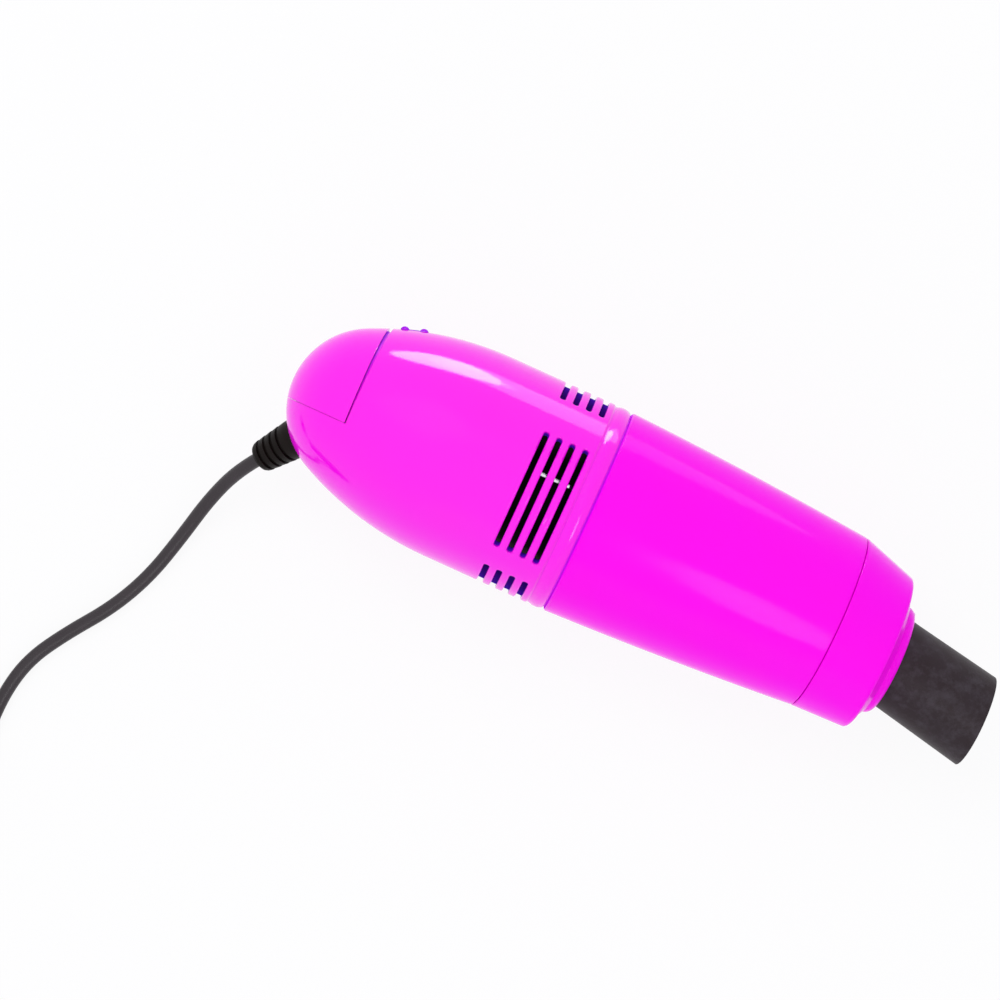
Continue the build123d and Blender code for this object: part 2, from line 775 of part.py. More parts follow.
# Fan shroud: the inlet plate, pressed into the spigot, with the collar that carries the filter.
shroud_outer = spigot_inner - set_clearance
shroud_rear = spigot_length + set_clearance
shroud_front = shroud_rear + shroud_thickness
shroud_flange = spigot_outer - 0.2
with BuildPart() as fan_shroud:
    turned(
        [
            (1.5, shroud_outer - 1.2),
            (1.5, shroud_outer),
            (shroud_rear, shroud_outer),
            (shroud_rear, shroud_flange),
            (shroud_front, shroud_flange),
            (shroud_front, filter_collar_radius),
            (shroud_front + filter_collar_length, filter_collar_radius),
            (shroud_front + filter_collar_length, filter_collar_radius - 1.1),
            (shroud_front, filter_collar_radius - 1.1),
            (shroud_front, inlet_radius),
            (shroud_rear, inlet_radius),
            (shroud_rear, shroud_outer - 1.2),
        ]
    )
    with BuildSketch(station(shroud_rear)):
        Circle(1.8)
        with PolarLocations(inlet_radius / 2, 3):
            Rectangle(inlet_radius + 0.6, 1.2)
    extrude(amount=shroud_thickness)

with BuildPart() as seal_ring:
    ring(2.45, 3.75, spigot_outer - 0.7, socket_radius - 0.03)

# Filter: a ring on the shroud's collar, and a cloth dome.
filter_rear = shroud_front + 0.3
filter_bore = filter_collar_radius + fit_clearance
cloth_inner = filter_flange_radius - 3.2
cloth_outer = cloth_inner + cloth_thickness
cloth_rear = filter_rear + 1.25 + set_clearance
dome_base = filter_rear + filter_frame_length + 0.6
with BuildPart() as filter_frame:
    turned(
        [
            (filter_rear, filter_bore),
            (filter_rear, filter_flange_radius),
            (filter_rear + 1.25, filter_flange_radius),
            (filter_rear + 1.25, cloth_inner - set_clearance),
            (filter_rear + filter_frame_length, cloth_inner - set_clearance),
            (filter_rear + filter_frame_length, filter_bore),
        ]
    )

with BuildPart() as filter_bag:
    dome_depth = filter_depth - (dome_base - cloth_rear)
    with BuildSketch(side()):
        with BuildLine():
            EllipticalCenterArc((dome_base, 0), dome_depth, cloth_outer, arc_size=90)
            Polyline((dome_base, cloth_outer), (cloth_rear, cloth_outer), (cloth_rear, cloth_inner),
                     (dome_base, cloth_inner))
            EllipticalCenterArc((dome_base, 0), dome_depth - cloth_thickness, cloth_inner, arc_size=90)
            Line((dome_base + dome_depth - cloth_thickness, 0), (dome_base + dome_depth, 0))
        make_face()
    revolve(axis=spin)

# Dust cup: a tapering shell with a socket at its rear and a snap neck at its front.
cup_rear = seam_gap / 2
cup_rear_radius = belly_radius - 0.1
chamber_rear_radius = socket_radius - 0.4
neck_outer = cup_front_radius - nose_wall - snap_step
neck_inner = neck_outer - snap_wall
cup_middle = cup_length / 2
cup_middle_radius = (cup_rear_radius + cup_front_radius) / 2 + cup_swell
chamber_front = cup_length - 3.3
chamber_front_radius = cup_front_radius - cup_wall + 0.2
with BuildPart() as dust_cup:
    with BuildSketch(side()):
        with BuildLine():
            Polyline((cup_rear, socket_radius), (cup_rear, cup_rear_radius - 0.4),
                     (cup_rear + 0.4, cup_rear_radius))
            ThreePointArc((cup_rear + 0.4, cup_rear_radius), (cup_middle, cup_middle_radius),
                          (cup_length - 0.25, cup_front_radius))
            Polyline(
                (cup_length - 0.25, cup_front_radius),
                (cup_length, cup_front_radius - 0.25),
                (cup_length, neck_outer),
                (cup_length + snap_length, neck_outer),
                (cup_length + snap_length, neck_inner),
                (chamber_front + 1.5, neck_inner),
                (chamber_front, chamber_front_radius),
            )
            ThreePointArc((chamber_front, chamber_front_radius), (cup_middle, cup_middle_radius - cup_wall),
                          (socket_length, chamber_rear_radius))
            Polyline((socket_length, chamber_rear_radius), (socket_length, socket_radius),
                     (cup_rear, socket_radius))
        make_face()
    revolve(axis=spin)

# Nose cap: a slanted cap with a raised lip, and a collar inside that grips the hose.
hose_turn = radians(hose_angle)
hose_aim = Vector(cos(hose_turn), -sin(hose_turn), 0)
nose_front = cup_length + nose_length
lip_front = nose_front + brow_length + lip_length
lip_centre = Vector(seam_x + lip_front, -lip_shift, axis_height)
hose_plane = Plane(origin=lip_centre, x_dir=(0, 0, 1), z_dir=hose_aim)
hose_side = Plane(origin=lip_centre, x_dir=hose_aim, z_dir=(0, 0, 1))
hose_axis = Axis(lip_centre, hose_aim)
lip_radius = hose_root_radius + lip_width
hose_hole = hose_root_radius + fit_clearance
with BuildPart() as nose_cap:
    with BuildSketch(station(cup_length + 0.12)):
        Circle(cup_front_radius)
    with BuildSketch(station(nose_front)):
        with Locations((-nose_shift, 0)):
            Circle(nose_front_radius)
    loft()
    fillet(nose_cap.edges().group_by(Axis.X)[-1], nose_rim_round)
    fillet(nose_cap.edges().group_by(Axis.X)[0], 0.25)
    with BuildSketch(station(nose_front - 0.3)):
        with Locations((-nose_shift, 0)):
            Circle(nose_front_radius - nose_rim_round - brow_step)
    with BuildSketch(station(nose_front + brow_length)):
        with Locations((-lip_shift, 0)):
            Circle(lip_radius + brow_step)
    loft()
    with BuildSketch(station(nose_front)):
        with Locations((-lip_shift, 0)):
            Circle(lip_radius)
    extrude(amount=brow_length + lip_length)
    fillet(nose_cap.edges().group_by(Axis.X)[-1], lip_length - 0.1)
    with BuildSketch(station(cup_length - 0.5)):
        Circle(neck_outer + set_clearance)
    extrude(amount=snap_length + 0.7, mode=Mode.SUBTRACT)
    with BuildSketch(station(cup_length + snap_length + 0.1)):
        with Locations((-nose_shift * snap_length / nose_length, 0)):
            Circle(neck_outer + set_clearance)
    with BuildSketch(station(nose_front - nose_wall)):
        with Locations((-nose_shift, 0)):
            Circle(nose_front_radius - nose_wall)
    loft(mode=Mode.SUBTRACT)
    with BuildSketch(hose_plane.offset(-hose_inside - 0.4)):
        Circle(hose_hole + collar_wall)
    extrude(amount=hose_inside - lip_length)
    with BuildSketch(hose_plane.offset(-hose_inside - 1)):
        Circle(hose_hole)
    extrude(amount=hose_inside + 5, mode=Mode.SUBTRACT)

with BuildPart() as suction_hose:
    mouth_reach = (mouth_station - lip_front) / cos(hose_turn)
    hose_end = mouth_reach + 3.0
    flare = hose_flare / mouth_reach
    with BuildSketch(hose_side):
        with BuildLine():
            Polyline(
                (-hose_inside, hose_bore_radius),
                (-hose_inside, hose_root_radius),
                (0.5, hose_root_radius),
                (hose_end, hose_root_radius + flare * hose_end),
                (hose_end, hose_bore_radius),
                close=True,
            )
        make_face()
    revolve(axis=hose_axis)
    with BuildSketch(station(mouth_station)):
        Rectangle(6 * hose_root_radius, 6 * hose_root_radius)
    extrude(amount=2 * hose_root_radius, mode=Mode.SUBTRACT)

# Slide switch: frame, base and pins stand still, and the slider and the knob travel.
seat = -switch_seat - set_clearance
box_floor = seat - switch_depth
with BuildPart() as switch_frame:
    with BuildSketch(switch_plane.offset(seat - sheet)):
        RectangleRounded(*frame_size, 0.8)
        with Locations((-switch_ear, 0), (switch_ear, 0)):
            Circle(0.7, mode=Mode.SUBTRACT)
        Rectangle(*stem_slot, mode=Mode.SUBTRACT)
    extrude(amount=sheet)
    with BuildSketch(switch_plane.offset(box_floor)):
        Rectangle(2 * switch_half_length, 2 * switch_half_width)
        Rectangle(2 * switch_half_length - 0.7, 2 * switch_half_width - 0.7, mode=Mode.SUBTRACT)
    extrude(amount=switch_depth - sheet)

pin_places = [(-pin_pitch, 0), (0, 0), (pin_pitch, 0)]
pin_floor = box_floor + base_thickness + 0.1 - pin_length
with BuildPart() as switch_base:
    with BuildSketch(switch_plane.offset(box_floor)):
        Rectangle(2 * switch_half_length - 0.8, 2 * switch_half_width - 0.8)
        with Locations(*pin_places):
            Rectangle(0.45, 0.9, mode=Mode.SUBTRACT)
    extrude(amount=base_thickness)

with BuildPart() as switch_pins:
    with BuildSketch(switch_plane.offset(pin_floor)):
        with Locations(*pin_places):
            Rectangle(0.35, 0.8)
    extrude(amount=pin_length)

slider_floor = box_floor + base_thickness + 0.3
slider_top = seat - sheet - 0.3
slider_length = 2 * (switch_half_length - 0.35 - switch_travel / 2) - 0.3
with BuildPart() as switch_slider:
    with BuildSketch(switch_plane.offset(slider_floor)):
        with Locations((-switch_travel / 2, 0)):
            Rectangle(slider_length, 2 * switch_half_width - 1.3)
    extrude(amount=slider_top - slider_floor)

with BuildPart() as knob_pad:
    tail_layer(-knob_rise, knob_pocket - knob_gap, belly_rear + 1)
    with BuildSketch(switch_plane):
        with Locations((-switch_travel / 2, 0)):
            RectangleRounded(2 * knob_half_length, 2 * knob_half_width, 0.9)
    extrude(amount=4, both=True, mode=Mode.INTERSECT)
with BuildPart() as knob_ridges:
    with BuildSketch(Plane(origin=switch_foot, x_dir=switch_along, z_dir=(0, 0, 1))):
        with Locations((-switch_travel / 2, ridge_rise - ridge_round)):
            with GridLocations(ridge_pitch, 0, ridge_count, 1):
                Circle(ridge_round)
        with Locations((-switch_travel / 2, ridge_rise)):
            Rectangle(4 * knob_half_length, 2 * ridge_rise + 0.2, mode=Mode.INTERSECT)
    extrude(amount=knob_half_width - 0.3, both=True)
with BuildPart() as switch_knob:
    add(knob_pad.part)
    add(knob_ridges.part)
    with BuildSketch(switch_plane.offset(slider_top + set_clearance)):
        with Locations((-switch_travel / 2, 0)):
            Rectangle(2 * stem_half_length, 2 * stem_half_width)
    extrude(amount=-slider_top - set_clearance - 0.1)

with BuildPart() as switch_screws:
    with BuildSketch(switch_plane.offset(seat - sheet - set_clearance)):
        with Locations((-switch_ear, 0), (switch_ear, 0)):
            Circle(1.0)
    extrude(amount=-0.7)
    with BuildSketch(switch_plane.offset(seat - sheet - set_clearance)):
        with Locations((-switch_ear, 0), (switch_ear, 0)):
            Circle(0.5)
    extrude(amount=2.4)

# Strain relief: a flange inside the dome, a neck in its hole and a ribbed cone outside.
boot_side = Plane(origin=boot_foot, x_dir=boot_aim, z_dir=boot_plane.x_dir)
boot_axis = Axis(boot_foot, boot_aim)
flange_floor = flange_top - boot_flange_thickness
boot_slope = (boot_neck_radius - boot_end_radius) / (boot_length - 1.0)
groove_places = [boot_length - 1.9 - boot_pitch * groove for groove in range(boot_grooves)]
boot_outline = [(flange_floor, 0), (flange_floor, boot_flange_radius), (flange_top, boot_flange_radius)]
boot_outline += [(flange_top, boot_neck_radius), (1.0, boot_neck_radius)]
for place in reversed(groove_places):
    width = boot_neck_radius - boot_slope * (place - 1.0)
    boot_outline += [
        (place - boot_groove / 2, width),
        (place - boot_groove / 2 + 0.1, width - boot_groove_depth),
        (place + boot_groove / 2 - 0.1, width - boot_groove_depth),
        (place + boot_groove / 2, width),
    ]
boot_outline += [(boot_length - 0.7, boot_end_radius), (boot_length - 0.2, boot_end_radius - 0.3)]
boot_outline += [(boot_length, boot_end_radius - 0.8), (boot_length, 0)]
with BuildPart() as cable_boot:
    with BuildSketch(boot_side):
        with BuildLine():
            Polyline(*boot_outline, close=True)
        make_face()
    revolve(axis=boot_axis)

with BuildPart() as inner_cord:
    with BuildSketch(boot_plane.offset(flange_floor)):
        Circle(cord_radius)
    extrude(amount=-inner_length)

with BuildPart() as strain_tie:
    with BuildSketch(boot_plane.offset(flange_floor - 0.4)):
        Circle(cord_radius + 1.1)
        with Locations((cord_radius + 1.4, 0)):
            Rectangle(2.6, 3.0)
        Circle(cord_radius + set_clearance, mode=Mode.SUBTRACT)
    extrude(amount=-2.4)


def tube(points, radii, radius):
    # A round tube along straight runs joined by tangent arcs.
    with BuildLine() as path:
        FilletPolyline(*points, radius=radii)
    with BuildSketch(Plane(origin=path.line @ 0, z_dir=path.line % 0)) as section:
        Circle(radius)
    sweep(section.sketch, path=path.line)


def arc_radii(points):
    # The largest arc that each corner's shorter run allows.
    corners = [Vector(*point) for point in points]
    radii = []
    for before, corner, after in zip(corners, corners[1:], corners[2:]):
        turn = radians((corner - before).get_angle(after - corner))
        shorter = min((corner - before).length, (after - corner).length)
        radii.append(0.45 * shorter / tan(turn / 2))
    return radii


def from_station(s, y, z):
    # A point of the row frame, from a station and its offsets from the axis.
    return Vector(seam_x + s, y, axis_height + z)


# Leads: the cord's two wires, and the link from the switch to the motor.
cord_end = boot_foot + boot_aim * (flange_floor - inner_length)
lead_side = boot_plane.y_dir * 0.75
pin_depth = pin_floor - set_clearance
terminal_end = terminal_rear - set_clearance
pin_ends = [switch_foot + switch_along * place[0] + switch_out * pin_depth for place in pin_places]
terminal_plus = from_station(terminal_end, 0, terminal_offset)
terminal_minus = from_station(terminal_end, 0, -terminal_offset)
red_points = [
    cord_end + lead_side,
    cord_end + lead_side - boot_aim * 3.0,
    pin_ends[0] - switch_out * 3.6 + Vector(-1.6, 0, 0),
    pin_ends[0] - switch_out * 2.0,
    pin_ends[0],
]
black_points = [
    cord_end - lead_side,
    cord_end - lead_side - boot_aim * 2.4,
    terminal_minus + Vector(-5.5, -3.4, 4.0),
    terminal_minus + Vector(-2.4, 0, 0),
    terminal_minus,
]
link_points = [
    pin_ends[1],
    pin_ends[1] - switch_out * 2.0,
    terminal_plus + Vector(-2.0, 4.0, -2.8),
    terminal_plus + Vector(-1.8, 0, 0),
    terminal_plus,
]
with BuildPart() as lead_red:
    tube(red_points, arc_radii(red_points), lead_radius)
with BuildPart() as lead_black:
    tube(black_points, arc_radii(black_points), lead_radius)
with BuildPart() as lead_link:
    tube(link_points, arc_radii(link_points), lead_radius)

# Noise capacitor: a disc behind the motor, with a leg to each terminal.
capacitor_station = bell_boss_rear - 3.6
capacitor_face = from_station(capacitor_station, -0.6, 0)
leg_reach = terminal_offset - 0.25 - set_clearance
with BuildPart() as noise_capacitor:
    with BuildSketch(Plane(origin=capacitor_face, x_dir=(1, 0, 0), z_dir=(0, -1, 0))):
        Circle(2.4)
    extrude(amount=2.0)
    with BuildSketch(Plane(origin=from_station(terminal_rear + 0.5, -1.0, -leg_reach))):
        Circle(0.25)
    extrude(amount=2 * leg_reach)

# Free cord, from the strain relief to the coil, and from the coil to the plug.
cord_radii = arc_radii(cord_points)
tail_radii = arc_radii(tail_points)
with BuildPart() as cord:
    tube(cord_points, cord_radii, cord_radius)
with BuildPart() as cord_tail:
    tube(tail_points, tail_radii, cord_radius)
print("cord arcs", [round(radius, 1) for radius in cord_radii])
print("tail arcs", [round(radius, 1) for radius in tail_radii])

# Coil: the outer shape of the tied turns.
coil_middle = (cord_points[-1][0] - coil_outer_turn, cord_points[-1][1])
coil_outer = coil_outer_turn + cord_radius
coil_inner = coil_outer_turn - (coil_turns_wide - 1) * turn_pitch - cord_radius
coil_height = 2 * cord_radius + (coil_layers - 1) * turn_pitch
with BuildPart() as cord_coil:
    with BuildSketch(Plane(origin=(*coil_middle, coil_base))):
        Circle(coil_outer)
        Circle(coil_inner, mode=Mode.SUBTRACT)
    extrude(amount=coil_height)
    fillet(cord_coil.edges(), cord_radius - 0.1)

tie_inner = sqrt(coil_inner**2 - (tie_width / 2) ** 2) - 0.2
tie_outer = coil_outer + 0.2
tie_rise = coil_height + 0.2
with BuildPart() as coil_tie:
    tie_centre = (coil_middle[0] + tie_width / 2, coil_middle[1], coil_base + coil_height / 2)
    with BuildSketch(Plane(origin=tie_centre, x_dir=(0, -1, 0), z_dir=(-1, 0, 0))):
        with Locations(((tie_inner + tie_outer) / 2, 0)):
            RectangleRounded(tie_outer - tie_inner + 2 * tie_thickness, tie_rise + 2 * tie_thickness, 1.2)
            Rectangle(tie_outer - tie_inner, tie_rise, mode=Mode.SUBTRACT)
    extrude(amount=tie_width)

# USB plug: strain relief and body in one moulding, then the steel shell, tongue and contacts.
plug_foot = Vector(*tail_points[-1])
plug_aim = (plug_foot - Vector(*tail_points[-2])).normalized()
plug_plane = Plane(origin=plug_foot, x_dir=plug_aim.cross(Vector(0, 0, 1)), z_dir=plug_aim)
plug_side = Plane(origin=plug_foot, x_dir=plug_aim, z_dir=plug_plane.x_dir)
relief_outline = [(0, 0), (0, 2.1)]
for rib in range(3):
    rib_start = 1.2 + 2.1 * rib
    relief_outline += [(rib_start, 2.3 + 0.3 * rib), (rib_start + 0.1, 1.8 + 0.3 * rib)]
    relief_outline += [(rib_start + 0.9, 1.8 + 0.3 * rib), (rib_start + 1.0, 2.5 + 0.3 * rib)]
relief_outline += [(relief_length + 1, 3.4), (relief_length + 1, 0)]
with BuildPart() as plug_body:
    with BuildSketch(plug_side):
        with BuildLine():
            Polyline(*relief_outline, close=True)
        make_face()
    revolve(axis=Axis(plug_foot, plug_aim))
    with BuildSketch(plug_plane.offset(relief_length)):
        RectangleRounded(plug_width, plug_height, 2.2)
    extrude(amount=plug_length)
    with BuildSketch(plug_plane.offset(relief_length + plug_length - shell_root)):
        Rectangle(shell_width + 2 * set_clearance, shell_height + 2 * set_clearance)
    extrude(amount=shell_root + 1, mode=Mode.SUBTRACT)

shell_start = relief_length + plug_length - shell_root + set_clearance
with BuildPart() as plug_shell:
    with BuildSketch(plug_plane.offset(shell_start)):
        Rectangle(shell_width, shell_height)
        Rectangle(shell_width - 2 * shell_wall, shell_height - 2 * shell_wall, mode=Mode.SUBTRACT)
    extrude(amount=shell_root + shell_length)
    window_start = relief_length + plug_length + shell_length - 6.5
    with BuildSketch(plug_plane.offset(window_start)):
        with GridLocations(5.0, shell_height, 2, 2):
            Rectangle(2.2, 2.0)
    extrude(amount=2.2, mode=Mode.SUBTRACT)

tongue_drop = shell_height / 2 - shell_wall - tongue_thickness / 2 - set_clearance
with BuildPart() as plug_tongue:
    with BuildSketch(plug_plane.offset(shell_start)):
        with Locations((0, -tongue_drop)):
            Rectangle(shell_width - 2 * shell_wall - 0.1, tongue_thickness)
    extrude(amount=shell_root + shell_length - 0.6)

with BuildPart() as plug_contacts:
    with BuildSketch(plug_plane.offset(relief_length + plug_length + 1)):
        with Locations((0, -tongue_drop + tongue_thickness / 2 + 0.1)):
            with GridLocations(2.3, 0, 4, 1):
                Rectangle(1.0, 0.15)
    extrude(amount=shell_length - 2.5)

pieces = {
    "motor_housing": motor_housing,
    "tail_cover": tail_cover,
    "tail_cover_screw": tail_cover_screw,
    "motor_mount": motor_mount,
    "mount_screws": mount_screws,
    "mount_clip": mount_clip,
    "motor_can": motor_can,
    "motor_screws": motor_screws,
    "motor_magnets": motor_magnets,
    "front_bearing": front_bearing,
    "rear_bearing": rear_bearing,
    "motor_end_bell": motor_end_bell,
    "motor_terminals": motor_terminals,
    "motor_brushes": motor_brushes,
    "noise_capacitor": noise_capacitor,
    "rotor_shaft": rotor_shaft,
    "armature_core": armature_core,
    "armature_windings": armature_windings,
    "commutator": commutator,
    "impeller": impeller,
    "fan_shroud": fan_shroud,
    "seal_ring": seal_ring,
    "filter_frame": filter_frame,
    "filter_bag": filter_bag,
    "dust_cup": dust_cup,
    "nose_cap": nose_cap,
    "suction_hose": suction_hose,
    "switch_frame": switch_frame,
    "switch_base": switch_base,
    "switch_pins": switch_pins,
    "switch_slider": switch_slider,
    "switch_knob": switch_knob,
    "switch_screws": switch_screws,
    "cable_boot": cable_boot,
    "inner_cord": inner_cord,
    "strain_tie": strain_tie,
    "lead_red": lead_red,
    "lead_black": lead_black,
    "lead_link": lead_link,
    "cord": cord,
    "cord_coil": cord_coil,
    "coil_tie": coil_tie,
    "cord_tail": cord_tail,
    "plug_body": plug_body,
    "plug_shell": plug_shell,
    "plug_tongue": plug_tongue,
    "plug_contacts": plug_contacts,
}
os.makedirs("parts", exist_ok=True)
for name, piece in pieces.items():
    piece.part.label = name
    export_step(piece.part, f"parts/{name}.step")
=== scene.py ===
import math
import random

import bpy
from mathutils import Matrix, Vector


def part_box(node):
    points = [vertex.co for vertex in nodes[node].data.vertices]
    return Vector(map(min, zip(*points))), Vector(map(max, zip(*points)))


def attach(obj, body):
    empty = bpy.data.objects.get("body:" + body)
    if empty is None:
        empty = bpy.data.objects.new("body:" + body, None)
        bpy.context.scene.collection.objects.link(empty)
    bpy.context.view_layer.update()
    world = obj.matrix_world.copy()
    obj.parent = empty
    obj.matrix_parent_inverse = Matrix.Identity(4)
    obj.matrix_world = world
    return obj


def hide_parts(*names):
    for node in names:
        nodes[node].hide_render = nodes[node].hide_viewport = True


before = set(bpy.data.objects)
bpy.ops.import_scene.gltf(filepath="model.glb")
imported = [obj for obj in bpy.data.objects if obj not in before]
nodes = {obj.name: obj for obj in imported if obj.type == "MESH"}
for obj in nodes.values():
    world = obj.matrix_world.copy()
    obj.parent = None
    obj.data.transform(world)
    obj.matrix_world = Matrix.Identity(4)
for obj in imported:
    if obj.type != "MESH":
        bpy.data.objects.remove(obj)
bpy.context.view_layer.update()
scene = bpy.context.scene
scene.view_settings.view_transform = "Standard"
print("frame loaded:", len(nodes), "nodes")

mm = 0.001


# Small helpers

def linear(hexColour):
    # sRGB hex to linear RGBA
    channels = [int(hexColour[i:i + 2], 16) / 255 for i in (1, 3, 5)]
    flat = [c / 12.92 if c <= 0.04045 else ((c + 0.055) / 1.055) ** 2.4 for c in channels]
    return (*flat, 1.0)


def perMetre(size):
    # texture scale for a pattern of that size in mm, on object coordinates in metres
    return 1000 / size


def addNode(tree, kind, settings=None, links=None):
    # a node with its values and its incoming links, by socket name or number
    node = tree.nodes.new(kind)
    for key, value in (settings or {}).items():
        if isinstance(key, str) and key not in node.inputs:
            setattr(node, key, value)
        else:
            node.inputs[key].default_value = value
    for key, source in (links or {}).items():
        tree.links.new(source, node.inputs[key])
    return node


def newTree(name):
    material = bpy.data.materials.new(name)
    material.use_nodes = True
    material.node_tree.nodes.clear()
    return material, material.node_tree


def addPiece(name, mesh, material, body):
    piece = bpy.data.objects.new(name, mesh)
    scene.collection.objects.link(piece)
    mesh.materials.append(material)
    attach(piece, body)
    return piece


# Camera: straight above the body, turned so that the body lies across the picture

cameraSetup = {
    "over": (-29.6 * mm, -5.4 * mm),
    "height": 582.5 * mm,
    "turn": 24.5,  # degrees
    "lens": 97.2,  # on a 36 mm sensor
}


def addCamera(setup):
    lens = bpy.data.cameras.new("camera")
    lens.lens = setup["lens"]
    lens.clip_start = 0.01
    eye = bpy.data.objects.new("camera", lens)
    eye.location = (*setup["over"], setup["height"])
    eye.rotation_euler = (0, 0, math.radians(setup["turn"]))
    scene.collection.objects.link(eye)
    scene.camera = eye


addCamera(cameraSetup)
print("camera placed")


# USB cord: one line from the strain relief through the tied coil to the plug

cordSetup = {
    "radius": 1.5,
    "route": [
        (-79.35, -18.3, 12.3),
        (-82.7, -22.6, 9.9),
        (-86.2, -31.0, 5.4),
        (-88.6, -41.0, 2.3),
        (-91.4, -51.5, 1.55),
        (-95.9, -61.0, 1.55),
        (-102.6, -70.2, 1.55),
        (-107.6, -78.6, 1.55),
        (-109.5, -87.5, 1.55),
        (-109.3, -97.0, 1.6),
        (-108.9, -107.5, 2.2),
        (-108.85, -117.5, 2.5),
    ],
    "coilMiddle": (-130.85, -117.5),
    "coilRadii": (22.0, 18.9, 15.8, 12.7),
    "coilFloor": 2.5,
    "layerRise": 3.1,
    "stepsPerTurn": 24,
    "inwardFrom": 45,  # each lower turn steps inwards over these last degrees
    "climbFrom": 90,
    "outwardFrom": 150,  # each upper turn steps outwards between these two
    "outwardTo": 95,
    "tail": [
        (-152.85, -117.5, 5.6),
        (-152.9, -110.3, 5.4),
        (-153.4, -103.0, 4.5),
        (-154.4, -95.8, 3.85),
        (-155.7, -88.8, 3.85),
    ],
    "length": 0.96,
}


def eased(value, start, end):
    # 0 before start, 1 after end, smooth between
    share = min(1.0, max(0.0, (value - start) / (end - start)))
    return share * share * (3 - 2 * share)


def coilPoint(setup, turned):
    # turned is in degrees from the coil's right side, clockwise from above
    radii = setup["coilRadii"]
    lowerEnd = 360 * len(radii) - setup["inwardFrom"]
    if turned < lowerEnd:
        stepped = sum(eased(turned, 360 * n - setup["inwardFrom"], 360 * n) for n in range(1, len(radii)))
        climbStart = 360 * len(radii) - setup["climbFrom"]
        rise = setup["layerRise"] * eased(turned, climbStart, lowerEnd)
    else:
        firstOut = 360 * (len(radii) + 1)
        stepped = len(radii) - 1
        for n in range(len(radii) - 1):
            turnEnd = firstOut + 360 * n
            stepped -= eased(turned, turnEnd - setup["outwardFrom"], turnEnd - setup["outwardTo"])
        rise = setup["layerRise"]
    radius = radii[0] - stepped * (radii[0] - radii[1])
    radius /= math.cos(math.pi / setup["stepsPerTurn"])
    angle = math.radians(-turned)
    middle = setup["coilMiddle"]
    height = setup["coilFloor"] + rise
    return (middle[0] + radius * math.cos(angle), middle[1] + radius * math.sin(angle), height)


def addCord(setup, material):
    stepAngle = 360 / setup["stepsPerTurn"]
    coilEnd = 360 * (2 * len(setup["coilRadii"]) - 1) + 180
    steps = round(coilEnd / stepAngle)
    coil = [coilPoint(setup, stepAngle * n) for n in range(1, steps)]
    points = setup["route"] + coil + setup["tail"]
    curve = bpy.data.curves.new("usbCord", "CURVE")
    curve.dimensions = "3D"
    curve.bevel_depth = setup["radius"] * mm
    curve.bevel_resolution = 5
    curve.use_fill_caps = True
    spline = curve.splines.new("NURBS")
    spline.points.add(len(points) - 1)
    for target, point in zip(spline.points, points):
        target.co = (*(c * mm for c in point), 1.0)
    spline.order_u = 3
    spline.use_endpoint_u = True
    spline.resolution_u = 6
    curve.materials.append(material)
    cord = bpy.data.objects.new("usbCord", curve)
    scene.collection.objects.link(cord)
    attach(cord, "housing")
    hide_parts("cord", "cord_coil", "cord_tail")


# Materials. Colours are sRGB, sizes are in mm.

bodyAxis = (0, 0, 22.5 * mm)


def paintedShadeShare(tree, spot, band):
    # 1 on walls that lie deep enough below the shell's outside in one stretch of the body, and 0 on the
    # shell: the mask where painted shade goes
    centred = addNode(tree, "ShaderNodeVectorMath", {"operation": "SUBTRACT", 1: bodyAxis}, {0: spot})
    across = addNode(
        tree, "ShaderNodeVectorMath", {"operation": "MULTIPLY", 1: (0, 1, 1)}, {0: centred.outputs["Vector"]}
    )
    radius = addNode(tree, "ShaderNodeVectorMath", {"operation": "LENGTH"}, {0: across.outputs["Vector"]})
    deep = addNode(
        tree,
        "ShaderNodeMapRange",
        {"From Min": band["outside"] * mm, "From Max": (band["outside"] - band["fade"]) * mm},
        {"Value": radius.outputs["Value"]},
    )
    along = addNode(tree, "ShaderNodeSeparateXYZ", {}, {0: centred.outputs["Vector"]})
    middle = (band["from"] + band["to"]) / 2 * mm
    reach = (band["to"] - band["from"]) / 2 * mm
    within = addNode(
        tree, "ShaderNodeMath", {"operation": "COMPARE", 1: middle, 2: reach}, {0: along.outputs["X"]}
    )
    share = addNode(
        tree, "ShaderNodeMath", {"operation": "MULTIPLY"}, {0: deep.outputs["Result"], 1: within.outputs[0]}
    )
    return share.outputs[0]


